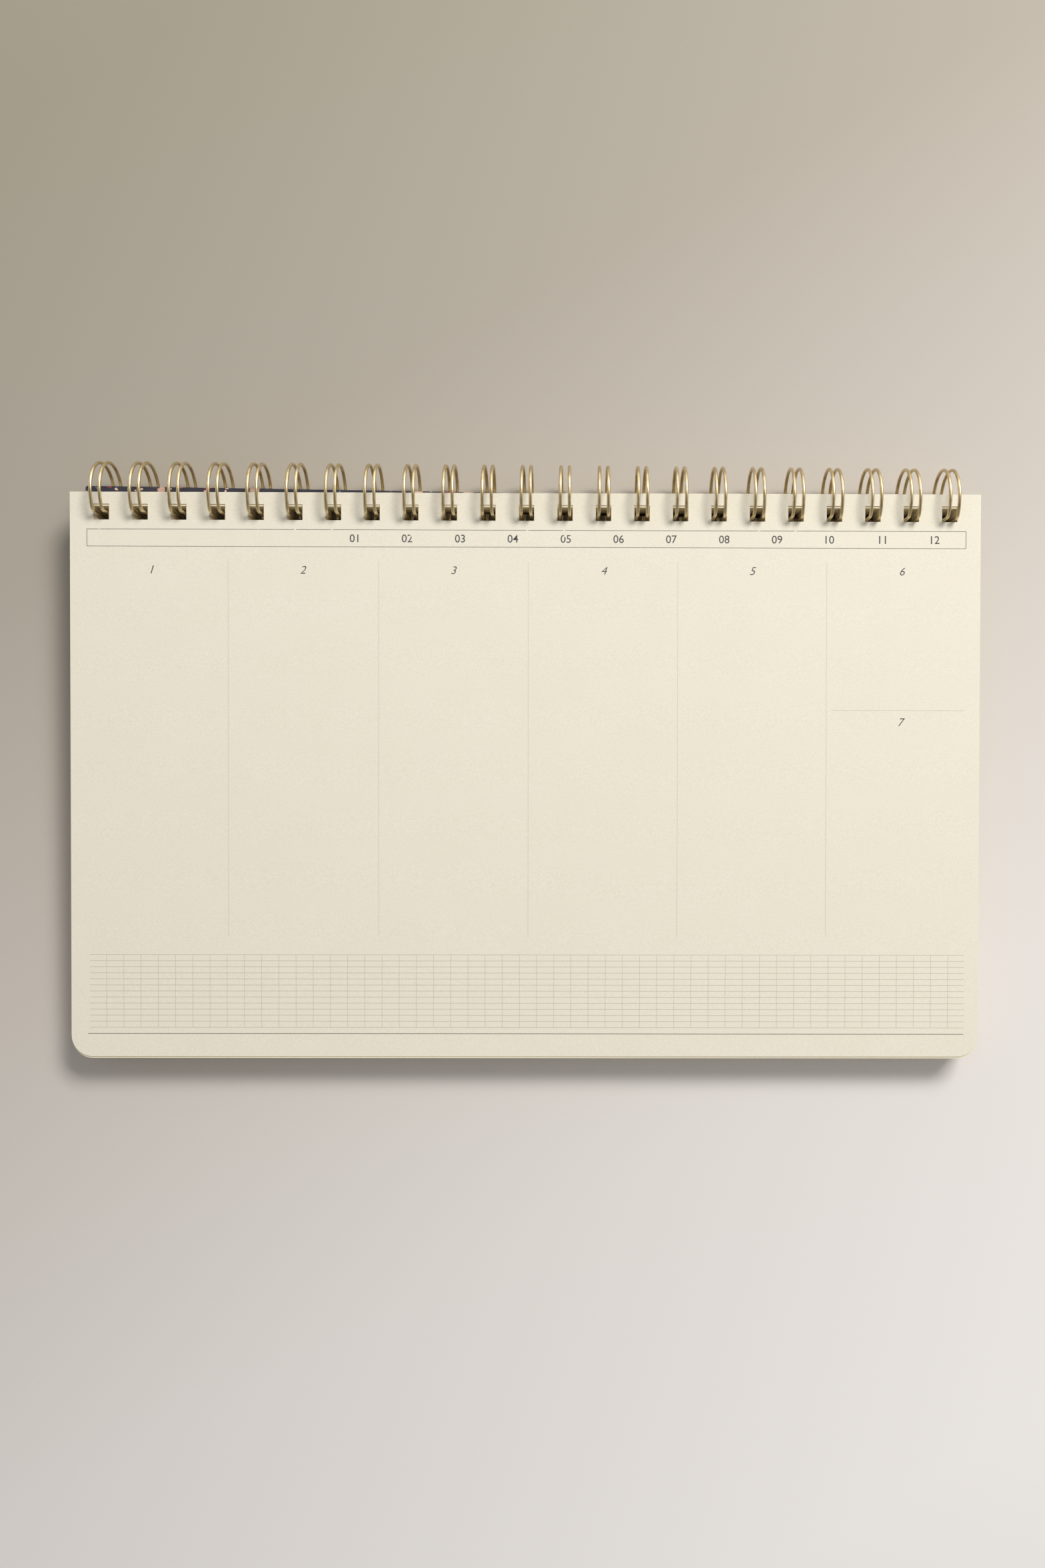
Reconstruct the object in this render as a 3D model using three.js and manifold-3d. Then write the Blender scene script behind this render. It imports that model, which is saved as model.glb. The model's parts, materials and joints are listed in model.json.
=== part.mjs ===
// Desk planner pad: a landscape block of weekly sheets, bound along its top edge by a twin-loop wire
// and lying on a desk with its front cover folded round to the back.
// Millimetres, +Z up. X runs along the bound edge and Y from the front edge towards the wire.
// The origin is on the desk, under the centre of the pad's outline.

import * as THREE from "three";
import { mergeVertices } from "three/addons/utils/BufferGeometryUtils.js";
import Module from "manifold-3d";

// Punching: one square hole for each twin loop
const loopCount = 23;
const loopPitch = 12.7;
const holeWidth = 5.1;
const holeLength = 5.2;

// Sheets
const sideMargin = 10.3; // from the middle of the outermost holes to the sheets' sides
const sheetWidth = (loopCount - 1) * loopPitch + 2 * sideMargin;
const sheetDepth = 186;
const cornerRadius = 7;
const pageMargin = 3.9; // from the bound edge to the holes
const blockThickness = 9;
const topSheetThickness = 0.25;
const topSheetSlip = 0.6; // how far the top sheet has slipped towards the wire
const blockSkew = THREE.MathUtils.degToRad(0.32); // the sheets hang a little askew on the wire

// Backing board, cut and punched as the sheets are
const boardThickness = 1.8;

// Front cover, folded under the board
const coverDepth = 189.8;
const coverThickness = 0.5;
const coverMargin = 7.2;
const coverSkew = THREE.MathUtils.degToRad(-0.42); // it hangs askew the other way
const coverCornerRadius = 0.8; // at the bound edge

// Wire, all to its centre line, with heights and reaches taken from the axis of the loops
const wireDiameter = 1.1;
const loopRadius = 10.3;
const innerReach = 6.7; // how far the flattened inner side lies from the axis
const blendAngle = THREE.MathUtils.degToRad(124); // where the round part of a loop ends
const rootHalfWidth = 1.62; // half the distance between the twin wires at their root
const tipHalfWidth = 1.2;
const rootBend = 0.8; // bend between a loop and the straight wire to the next one
const endStub = 2.5; // length of straight wire left at each end of the binding
const seamDrop = 5.05; // how far below the axis the loops close

// Clearances
const seatClearance = 0.2; // between the closed seam and the sheets on each side of it
const leafClearance = 0.15; // between the cover, the board and the block
const tipClearance = 0.25; // between a loop's tip and the straight wires
const wireFreedom = 1.15; // from the middle loop to the inner wall of the top sheet's hole
const boardRide = 0.8; // how far the board's holes lie outward of the wire
const coverRide = 0.3; // the same for the cover, at its middle loop

// How finely curves are drawn
const wireSides = 6;
const arcSteps = 16;
const tipSteps = 4;
const cornerSteps = 6;

// Places of the leaves, from the axis of the loops
const axisHeight = loopRadius + wireDiameter / 2;
const blockBottom = -seamDrop + wireDiameter / 2 + seatClearance;
const boardTop = -seamDrop - wireDiameter / 2 - seatClearance;
const boardBottom = boardTop - boardThickness;
const coverTop = boardBottom - leafClearance;
const coverBottom = coverTop - coverThickness;
const topSheetHoles = -innerReach - wireDiameter / 2 - wireFreedom + holeLength / 2;
const blockHoles = topSheetHoles - topSheetSlip;
const boardHoles = boardRide - innerReach;
const coverHoles = coverRide - Math.sqrt(loopRadius ** 2 - (coverTop - coverThickness / 2) ** 2);
const coverReach = holeLength / 2 + coverMargin - coverDepth + coverHoles; // to its front edge
const blockReach = holeLength / 2 + pageMargin - sheetDepth + blockHoles;

// The back leans until the cover's front edge meets the desk, and the block until its own meets the board.
const backLean =
  Math.asin(axisHeight / Math.hypot(coverReach, coverBottom)) - Math.atan2(-coverBottom, -coverReach);
const blockLean = backLean + Math.atan((blockBottom - boardTop - leafClearance) / -blockReach);

const loopPlaces = Array.from({ length: loopCount }, (_, i) => (i - (loopCount - 1) / 2) * loopPitch);

const paper = new THREE.MeshStandardMaterial({ color: 0xe9e3cb, roughness: 0.9, metalness: 0 });
const greyBoard = new THREE.MeshStandardMaterial({ color: 0xa39a8c, roughness: 0.95, metalness: 0 });
const printedCard = new THREE.MeshStandardMaterial({ color: 0x2b2c38, roughness: 0.45, metalness: 0 });
const goldWire = new THREE.MeshStandardMaterial({ color: 0xc9a552, roughness: 0.25, metalness: 1 });

const wasm = await Module();
wasm.setup();

function solidOf(geometry) {
  const bare = geometry.clone();
  bare.deleteAttribute("normal");
  bare.deleteAttribute("uv");
  const merged = mergeVertices(bare, 1e-4);
  const vertProperties = merged.attributes.position.array;
  const triVerts = new Uint32Array(merged.index.array);
  return new wasm.Manifold(new wasm.Mesh({ numProp: 3, vertProperties, triVerts }));
}

function geometryOf(solid) {
  const mesh = solid.getMesh();
  const geometry = new THREE.BufferGeometry();
  geometry.setAttribute("position", new THREE.BufferAttribute(mesh.vertProperties, 3));
  geometry.setIndex(new THREE.BufferAttribute(mesh.triVerts, 1));
  geometry.computeVertexNormals();
  return geometry;
}

// A punched leaf with rounded front corners. Its own Y is zero on the line through the holes' centres.
function punchedLeaf({ depth, margin, thickness, boundCorner = 0 }) {
  const side = sheetWidth / 2;
  const bound = holeLength / 2 + margin;
  const front = bound - depth;
  const quarter = Math.PI / 2;
  const outline = new THREE.Shape();
  if (boundCorner > 0) {
    outline.moveTo(side - boundCorner, bound);
    outline.lineTo(-side + boundCorner, bound);
    outline.absarc(-side + boundCorner, bound - boundCorner, boundCorner, quarter, 2 * quarter, false);
  } else {
    outline.moveTo(side, bound);
    outline.lineTo(-side, bound);
  }
  outline.lineTo(-side, front + cornerRadius);
  outline.absarc(-side + cornerRadius, front + cornerRadius, cornerRadius, 2 * quarter, 3 * quarter, false);
  outline.lineTo(side - cornerRadius, front);
  outline.absarc(side - cornerRadius, front + cornerRadius, cornerRadius, 3 * quarter, 4 * quarter, false);
  if (boundCorner > 0) {
    outline.lineTo(side, bound - boundCorner);
    outline.absarc(side - boundCorner, bound - boundCorner, boundCorner, 0, quarter, false);
  }
  const extrusion = { depth: thickness, bevelEnabled: false, curveSegments: cornerSteps };
  let leaf = solidOf(new THREE.ExtrudeGeometry(outline, extrusion));
  for (const place of loopPlaces) {
    const punch = new THREE.BoxGeometry(holeWidth, holeLength, thickness * 3);
    punch.translate(place, 0, thickness / 2);
    leaf = leaf.subtract(solidOf(punch));
  }
  return leaf;
}

// All the sheets are one solid. The top one has slipped, which leaves a step along its edges and holes.
function pageBlock() {
  const lower = punchedLeaf({
    depth: sheetDepth,
    margin: pageMargin,
    thickness: blockThickness - topSheetThickness,
  });
  const top = punchedLeaf({ depth: sheetDepth, margin: pageMargin, thickness: topSheetThickness });
  const slipped = top.translate([0, topSheetSlip, blockThickness - topSheetThickness]);
  const block = new THREE.Mesh(geometryOf(lower.add(slipped)), paper);
  block.name = "page_block";
  block.position.set(0, blockHoles, blockBottom);
  block.rotation.z = blockSkew;
  return block;
}

function backBoard() {
  const leaf = punchedLeaf({ depth: sheetDepth, margin: pageMargin, thickness: boardThickness });
  const board = new THREE.Mesh(geometryOf(leaf), greyBoard);
  board.name = "back_board";
  board.position.set(0, boardHoles, boardBottom);
  return board;
}

function frontCover() {
  const leaf = punchedLeaf({
    depth: coverDepth,
    margin: coverMargin,
    thickness: coverThickness,
    boundCorner: coverCornerRadius,
  });
  const cover = new THREE.Mesh(geometryOf(leaf), printedCard);
  cover.name = "front_cover";
  cover.position.set(0, coverHoles, coverBottom);
  cover.rotation.z = coverSkew;
  return cover;
}

// One loop seen from its end, from the seam up through the sheets, round outside and back to the seam
function loopProfile() {
  const cosine = Math.cos(blendAngle);
  const sine = Math.sin(blendAngle);
  const corner = (loopRadius + innerReach * cosine) / sine; // where the flat side meets the tangent
  const blend = Math.abs((loopRadius * cosine + innerReach) / sine);
  const profile = new THREE.Path();
  profile.moveTo(-innerReach, -seamDrop);
  profile.lineTo(-innerReach, corner - blend);
  profile.quadraticCurveTo(-innerReach, corner, loopRadius * cosine, loopRadius * sine);
  profile.absarc(0, 0, loopRadius, blendAngle, -blendAngle, true);
  profile.quadraticCurveTo(-innerReach, -corner, -innerReach, blend - corner);
  profile.lineTo(-innerReach, -seamDrop);
  return profile;
}

// The centre line of the whole binding, which is one wire bent to and fro
function bindingPoints() {
  const profile = loopProfile();
  const length = profile.getLength();
  const first = rootBend / length;
  const last = 1 - (wireDiameter + tipClearance + tipHalfWidth) / length;
  const points = [];
  const wireAt = (place, side, step) => {
    const along = first + (last - first) * (step / arcSteps);
    const at = profile.getPointAt(along);
    const half = THREE.MathUtils.lerp(rootHalfWidth, tipHalfWidth, step / arcSteps);
    points.push(new THREE.Vector3(place + side * half, at.x, at.y));
  };
  const rootCorner = (place, side) => {
    const slant = rootBend * (1 - Math.SQRT1_2);
    points.push(new THREE.Vector3(place + side * (rootHalfWidth + slant), -innerReach, slant - seamDrop));
  };
  const rootEnd = (place, side, run) => {
    points.push(new THREE.Vector3(place + side * (rootHalfWidth + run), -innerReach, -seamDrop));
  };
  const end = profile.getPointAt(last);
  const heading = profile.getTangentAt(last);
  for (const place of loopPlaces) {
    if (place === loopPlaces[0]) rootEnd(place, -1, endStub);
    rootEnd(place, -1, rootBend);
    rootCorner(place, -1);
    for (let step = 0; step <= arcSteps; step++) wireAt(place, -1, step);
    for (let step = 1; step < tipSteps; step++) {
      const turn = (Math.PI * step) / tipSteps;
      const ahead = tipHalfWidth * Math.sin(turn);
      const aside = -tipHalfWidth * Math.cos(turn);
      points.push(new THREE.Vector3(place + aside, end.x + heading.x * ahead, end.y + heading.y * ahead));
    }
    for (let step = arcSteps; step >= 0; step--) wireAt(place, 1, step);
    rootCorner(place, 1);
    rootEnd(place, 1, rootBend);
    if (place === loopPlaces[loopCount - 1]) rootEnd(place, 1, endStub);
  }
  return points;
}

// A curve that steps from one given point to the next, so that each point becomes one section of the wire
class PointCurve extends THREE.Curve {
  constructor(points) {
    super();
    this.points = points;
  }
  getPoint(t, target = new THREE.Vector3()) {
    const reach = t * (this.points.length - 1);
    const index = Math.min(Math.floor(reach), this.points.length - 2);
    return target.lerpVectors(this.points[index], this.points[index + 1], reach - index);
  }
  getPointAt(u, target) {
    return this.getPoint(u, target);
  }
  getTangentAt(u, target = new THREE.Vector3()) {
    const index = Math.round(u * (this.points.length - 1));
    const before = this.points[Math.max(index - 1, 0)];
    const after = this.points[Math.min(index + 1, this.points.length - 1)];
    return target.subVectors(after, before).normalize();
  }
}

function wireBinding() {
  const points = bindingPoints();
  const section = new THREE.Shape();
  for (let side = 0; side < wireSides; side++) {
    const turn = (2 * Math.PI * side) / wireSides;
    const corner = new THREE.Vector2(Math.cos(turn), Math.sin(turn)).multiplyScalar(wireDiameter / 2);
    if (side === 0) section.moveTo(corner.x, corner.y);
    else section.lineTo(corner.x, corner.y);
  }
  section.closePath();
  const geometry = new THREE.ExtrudeGeometry(section, {
    steps: points.length - 1,
    extrudePath: new PointCurve(points),
  });
  const binding = new THREE.Mesh(geometry, goldWire);
  binding.name = "wire_binding";
  return binding;
}

const back = new THREE.Group();
back.position.z = axisHeight;
back.rotation.x = backLean;
back.add(wireBinding(), backBoard(), frontCover());

const pages = new THREE.Group();
pages.position.z = axisHeight;
pages.rotation.x = blockLean;
pages.add(pageBlock());

const planner = new THREE.Group();
planner.add(back, pages);

// The outline's centre goes over the origin, and its lowest point onto the desk.
const outline = new THREE.Box3().setFromObject(planner, true);
const middle = outline.getCenter(new THREE.Vector3());
for (const group of [back, pages]) group.position.sub(new THREE.Vector3(middle.x, middle.y, outline.min.z));

export default planner;
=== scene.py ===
"""Desk planner pad on a pale floor, seen from straight above.

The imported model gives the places. This script lays the printed sheets, the board, the cover and the
gold wire over it, and adds the light, the floor and the camera. Shapes are worked out in millimetres
in a leaf's own frame and placed in metres.
"""

from __future__ import annotations

import json
import logging
import math
from dataclasses import dataclass, field
from enum import Enum

import bpy
import numpy as np
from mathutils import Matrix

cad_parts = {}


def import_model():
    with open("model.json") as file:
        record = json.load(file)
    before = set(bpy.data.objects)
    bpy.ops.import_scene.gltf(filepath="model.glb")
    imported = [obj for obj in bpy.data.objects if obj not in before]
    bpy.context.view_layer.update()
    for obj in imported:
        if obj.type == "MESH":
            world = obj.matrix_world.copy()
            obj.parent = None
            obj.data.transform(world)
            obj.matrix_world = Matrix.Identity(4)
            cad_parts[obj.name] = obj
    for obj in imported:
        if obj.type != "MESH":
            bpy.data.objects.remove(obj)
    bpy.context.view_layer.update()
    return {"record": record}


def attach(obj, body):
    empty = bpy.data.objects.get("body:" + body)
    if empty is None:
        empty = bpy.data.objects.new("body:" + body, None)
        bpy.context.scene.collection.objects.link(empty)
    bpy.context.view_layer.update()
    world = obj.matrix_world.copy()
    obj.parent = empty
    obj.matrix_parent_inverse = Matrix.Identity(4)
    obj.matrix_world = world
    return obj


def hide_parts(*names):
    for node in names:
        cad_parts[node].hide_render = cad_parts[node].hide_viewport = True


LOG = logging.getLogger("planner_pad")
MM = 0.001
Colour = tuple[float, float, float]
Range = tuple[float, float]
Nodes = bpy.types.NodeTree
Socket = bpy.types.NodeSocket

# Y of the middle of each leaf's holes, in millimetres from the axis of the loops.
SHEETS_HOLES_Y = -6.4
TOP_HOLES_Y = -5.8
BOARD_HOLES_Y = -5.9
COVER_HOLES_Y = -6.1877

# How far the sheets and the cover lie turned on the wire, in degrees.
SHEETS_SKEW = 0.32
COVER_SKEW = -0.42


def linear(red: int, green: int, blue: int) -> Colour:
    """Turns a display colour of 0 to 255 into the linear values that a shader takes.

    Args:
        red: Red as displayed.
        green: Green as displayed.
        blue: Blue as displayed.

    Returns:
        The same colour as linear values from 0 to 1.
    """
    shown = np.array([red, green, blue]) / 255
    low = shown / 12.92
    high = ((shown + 0.055) / 1.055) ** 2.4
    return tuple(float(value) for value in np.where(shown <= 0.04045, low, high))


def blended(first: Colour, second: Colour, share: float) -> Colour:
    """Gives a colour that lies a share of the way from the first to the second."""
    return tuple((1 - share) * start + share * end for start, end in zip(first, second))


@dataclass(frozen=True)
class Seat:
    """A leaning frame of the pad, whose origin lies on the axis of the loops.

    Attributes:
        axis: A point on the axis of the loops, in metres.
        lean: Turn about +X, in radians.
        spin: Turn about the leaf's own +Z before that, in radians.
        spin_about: The point, in the leaf's millimetres, that the spin leaves in place.
    """

    axis: tuple[float, float, float]
    lean: float
    spin: float = 0.0
    spin_about: tuple[float, float] = (0.0, 0.0)

    def place(self, points: np.ndarray) -> np.ndarray:
        """Takes points from this frame's millimetres to the part's metres.

        Args:
            points: An array whose last axis holds x, y and z in millimetres.

        Returns:
            The same points in metres, spun, leaned and moved onto the axis.
        """
        centre = np.array([*self.spin_about, 0.0])
        spin_cos, spin_sin = math.cos(self.spin), math.sin(self.spin)
        lean_cos, lean_sin = math.cos(self.lean), math.sin(self.lean)
        spin = np.array([[spin_cos, -spin_sin, 0], [spin_sin, spin_cos, 0], [0, 0, 1]])
        lean = np.array([[1, 0, 0], [0, lean_cos, -lean_sin], [0, lean_sin, lean_cos]])
        spun = (points - centre) @ spin.T + centre
        return spun @ lean.T * MM + np.array(self.axis)


@dataclass(frozen=True)
class Punching:
    """The row of square holes along the bound edge, one for each loop, in millimetres.

    Attributes:
        count: How many holes there are.
        pitch: Distance from one hole's middle to the next.
        width: A hole's size along the edge.
        length: Its size across the edge.
    """

    count: int = 23
    pitch: float = 12.7
    width: float = 5.1
    length: float = 5.2

    def places(self) -> np.ndarray:
        """Returns the X of each hole's middle."""
        return (np.arange(self.count) - (self.count - 1) / 2) * self.pitch


@dataclass(frozen=True)
class Leaf:
    """The outline of a punched leaf, in millimetres, with Y zero on the line through its holes.

    Attributes:
        width: Length along the bound edge.
        depth: From the bound edge to the front edge.
        margin: From the bound edge to the holes.
        corner: Radius of the front corners.
        bound_corner: Radius of the corners at the bound edge.
        hole_row: How the leaf is punched.
        arc_steps: Columns drawn across each rounded corner.
        hole_gap_steps: Columns drawn between one hole and the next.
        field_steps: Rows drawn between the front corners and the holes.
    """

    width: float = 300.0
    depth: float = 186.0
    margin: float = 3.9
    corner: float = 7.0
    bound_corner: float = 0.0
    hole_row: Punching = field(default_factory=Punching)
    arc_steps: int = 9
    hole_gap_steps: int = 1
    field_steps: int = 1

    @property
    def bound(self) -> float:
        """Y of the bound edge."""
        return self.hole_row.length / 2 + self.margin

    @property
    def front(self) -> float:
        """Y of the front edge."""
        return self.bound - self.depth

    def columns(self) -> np.ndarray:
        """Works out the X of each column of the grid.

        Returns:
            The ends, the rounded corners at even angles, both sides of each hole, and the steps between
            one hole and the next, in order.
        """
        half = self.width / 2
        turn = np.linspace(0, math.pi / 2, self.arc_steps)
        arc = half - self.corner + self.corner * np.sin(turn)
        small = half - self.bound_corner + self.bound_corner * np.sin(turn)
        side = np.array([[-0.5], [0.5]]) * self.hole_row.width
        holes = (self.hole_row.places() + side).ravel()
        gap = self.hole_row.pitch - self.hole_row.width
        steps = np.arange(1, self.hole_gap_steps) / self.hole_gap_steps
        starts = self.hole_row.places()[:-1] + self.hole_row.width / 2
        between = (starts[:, None] + gap * steps[None, :]).ravel()
        return np.unique(np.round(np.concatenate([arc, -arc, small, -small, holes, between]), 4))

    def grid(self) -> tuple[np.ndarray, np.ndarray]:
        """Lays the outline out as a grid with the holes left open.

        The front row follows y = front + r - sqrt(r^2 - d^2), where d is how far x lies into the rounded
        corner, and the last row follows the bound edge in the same way.

        Returns:
            The points as (row, column, xy), and for each cell whether it is paper.
        """
        x = self.columns()
        half = self.width / 2
        front_in = np.clip(np.abs(x) - (half - self.corner), 0, self.corner)
        front = self.front + self.corner - np.sqrt(self.corner**2 - front_in**2)
        bound_in = np.clip(np.abs(x) - (half - self.bound_corner), 0, self.bound_corner)
        bound = self.bound - self.bound_corner + np.sqrt(self.bound_corner**2 - bound_in**2)
        low, high = -self.hole_row.length / 2, self.hole_row.length / 2
        straight = np.full_like(x, self.front + 2 * self.corner)
        share = np.linspace(0, 1, self.field_steps + 1)[1:-1, None]
        rows = [front, straight]
        rows += list(straight + (low - straight) * share)
        rows += [np.full_like(x, low), np.full_like(x, high), bound]
        y = np.stack(rows)
        points = np.stack([np.broadcast_to(x, y.shape), y], axis=-1)
        keep = np.ones((len(rows) - 1, len(x) - 1), dtype=bool)
        middle = (x[:-1] + x[1:]) / 2
        away = np.abs(middle[:, None] - self.hole_row.places()[None, :]).min(axis=1)
        keep[-2] = away > self.hole_row.width / 2
        return points, keep


def closed_leaf(top: np.ndarray, under: np.ndarray, keep: np.ndarray) -> tuple[np.ndarray, np.ndarray]:
    """Closes two like grids into one solid leaf.

    Each kept cell gives a quad above and one below, and each of its sides that borders on no other kept
    cell gives a wall.

    Args:
        top: Points of the upper side as (row, column, xyz), with rows along +Y and columns along +X.
        under: Points of the underside, laid out in the same way.
        keep: For each cell, whether it is there.

    Returns:
        The vertices and the quads.
    """
    rows, columns = top.shape[:2]
    index = np.arange(rows * columns).reshape(rows, columns)
    corners = [index[:-1, :-1], index[:-1, 1:], index[1:, 1:], index[1:, :-1]]
    quads = np.stack([corner[keep] for corner in corners], axis=-1)
    faces = [quads, quads[:, ::-1] + rows * columns]
    padded = np.pad(keep, 1)
    beyond = [padded[:-2, 1:-1], padded[1:-1, 2:], padded[2:, 1:-1], padded[1:-1, :-2]]
    for side, neighbour in enumerate(beyond):
        rim = keep & ~neighbour
        first, second = corners[side][rim], corners[(side + 1) % 4][rim]
        faces.append(np.stack([second, first, first + rows * columns, second + rows * columns], axis=-1))
    vertices = np.concatenate([top.reshape(-1, 3), under.reshape(-1, 3)])
    used, faces = np.unique(np.concatenate(faces), return_inverse=True)
    return vertices[used], faces.reshape(-1, 4)


def mesh_object(name: str, vertices: np.ndarray, faces: np.ndarray | list) -> bpy.types.Object:
    """Makes an object at the origin from vertices in metres.

    Args:
        name: The piece's name.
        vertices: Points as (count, xyz).
        faces: Corners of each face, anticlockwise seen from outside.

    Returns:
        The new object, linked to the scene.
    """
    mesh = bpy.data.meshes.new(name)
    corners = faces.tolist() if isinstance(faces, np.ndarray) else faces
    mesh.from_pydata(vertices.tolist(), [], corners)
    mesh.update()
    made = bpy.data.objects.new(name, mesh)
    bpy.context.scene.collection.objects.link(made)
    LOG.info("%s: %d faces", name, len(mesh.polygons))
    return made


def soften(piece: bpy.types.Object, width: float, segments: int = 2) -> None:
    """Rounds the piece's sharp edges with a live bevel.

    Args:
        piece: The object.
        width: Width of the bevel in millimetres.
        segments: How many faces run across it.
    """
    bevel = piece.modifiers.new("cut_edge", "BEVEL")
    bevel.width = width * MM
    bevel.segments = segments
    bevel.limit_method = "ANGLE"
    bevel.angle_limit = math.radians(50)


def shade(piece: bpy.types.Object, sharp_from: float) -> None:
    """Shades a piece smooth, apart from edges that turn by more than an angle in degrees."""
    piece.data.shade_smooth()
    piece.data.set_sharp_from_angle(angle=math.radians(sharp_from))


def blank(name: str, colour: Colour, roughness: float, metallic: float = 0.0) -> tuple:
    """Makes a material with plain values on its shader.

    Args:
        name: The material's name.
        colour: Linear base colour.
        roughness: Roughness from 0 to 1.
        metallic: 1 for bare metal.

    Returns:
        The material, its node tree and its shader node.
    """
    material = bpy.data.materials.new(name)
    material.use_nodes = True
    tree = material.node_tree
    shader = tree.nodes["Principled BSDF"]
    shader.inputs["Base Color"].default_value = (*colour, 1.0)
    shader.inputs["Roughness"].default_value = roughness
    shader.inputs["Metallic"].default_value = metallic
    return material, tree, shader


def mix(tree: Nodes, mask: Socket, first: object, second: object, kind: str = "RGBA") -> Socket:
    """Mixes two colours or two values by a mask.

    Args:
        tree: The nodes to add to.
        mask: 0 gives the first and 1 the second.
        first: A linear colour, a number or an output socket.
        second: A linear colour, a number or an output socket.
        kind: RGBA for colours and VALUE for numbers.

    Returns:
        The mixed socket.
    """
    node = tree.nodes.new("ShaderNodeMix")
    node.data_type = "RGBA" if kind == "RGBA" else "FLOAT"
    tree.links.new(mask, node.inputs["Factor"])
    for name, value in (("A", first), ("B", second)):
        socket = next(s for s in node.inputs if s.name == name and s.type == kind)
        if isinstance(value, tuple):
            socket.default_value = (*value, 1.0)
        elif isinstance(value, float):
            socket.default_value = value
        else:
            tree.links.new(value, socket)
    return next(s for s in node.outputs if s.type == kind)


def span(tree: Nodes, value: Socket, reach: Range, to: Range = (0.0, 1.0), smooth: bool = False) -> Socket:
    """Carries the values within one range over to another, and clips the rest.

    Args:
        tree: The nodes to add to.
        value: The socket to carry over.
        reach: The values that become the ends of the new range.
        to: The ends of the new range.
        smooth: Whether it eases in and out.

    Returns:
        The new value's socket.
    """
    node = tree.nodes.new("ShaderNodeMapRange")
    node.interpolation_type = "SMOOTHSTEP" if smooth else "LINEAR"
    for name, number in zip(("From Min", "From Max", "To Min", "To Max"), (*reach, *to)):
        node.inputs[name].default_value = number
    tree.links.new(value, node.inputs["Value"])
    return node.outputs["Result"]


def along(tree: Nodes, place: Socket, direction: tuple[float, float, float]) -> Socket:
    """Measures how far a place lies along a direction, which is their dot product.

    Args:
        tree: The nodes to add to.
        place: The place's socket.
        direction: The direction as a unit vector.

    Returns:
        The distance's socket.
    """
    node = tree.nodes.new("ShaderNodeVectorMath")
    node.operation = "DOT_PRODUCT"
    node.inputs[1].default_value = direction
    tree.links.new(place, node.inputs[0])
    return node.outputs["Value"]


def object_place(tree: Nodes) -> Socket:
    """Gives the place on the object, in metres."""
    return tree.nodes.new("ShaderNodeTexCoord").outputs["Object"]


def colour_ramp(tree: Nodes, value: Socket, stops: tuple, stepped: bool = False) -> Socket:
    """Turns a value from 0 to 1 into colours.

    Args:
        tree: The nodes to add to.
        value: The value's socket.
        stops: Each stop's place and linear colour, in order.
        stepped: Whether each colour holds until the next stop.

    Returns:
        The colour's socket.
    """
    node = tree.nodes.new("ShaderNodeValToRGB")
    ramp = node.color_ramp
    ramp.interpolation = "CONSTANT" if stepped else "LINEAR"
    ramp.elements.remove(ramp.elements[1])
    ramp.elements[0].position, first = stops[0]
    ramp.elements[0].color = (*first, 1.0)
    for place, colour in stops[1:]:
        ramp.elements.new(place).color = (*colour, 1.0)
    tree.links.new(value, node.inputs["Fac"])
    return node.outputs["Color"]


def paper_fibre() -> Nodes:
    """Builds the group that papers, boards and inks share, or finds it where it is built.

    Returns:
        A group with the inputs Tooth Scale and Cloud Scale, giving Tooth, a fine height, and Cloud, a
        soft mottling, both from 0 to 1.
    """
    built = bpy.data.node_groups.get("paper_fibre")
    if built is not None:
        return built
    tree = bpy.data.node_groups.new("paper_fibre", "ShaderNodeTree")
    for name, value in (("Tooth Scale", 2600.0), ("Cloud Scale", 60.0)):
        socket = tree.interface.new_socket(name, in_out="INPUT", socket_type="NodeSocketFloat")
        socket.default_value = value
    for name in ("Tooth", "Cloud"):
        tree.interface.new_socket(name, in_out="OUTPUT", socket_type="NodeSocketFloat")
    entry = tree.nodes.new("NodeGroupInput")
    leave = tree.nodes.new("NodeGroupOutput")
    place = object_place(tree)
    for name, detail in (("Tooth", 4.0), ("Cloud", 6.0)):
        noise = tree.nodes.new("ShaderNodeTexNoise")
        noise.inputs["Detail"].default_value = detail
        noise.inputs["Roughness"].default_value = 0.6
        tree.links.new(place, noise.inputs["Vector"])
        tree.links.new(entry.outputs[f"{name} Scale"], noise.inputs["Scale"])
        tree.links.new(noise.outputs["Fac"], leave.inputs[name])
    return tree


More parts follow.
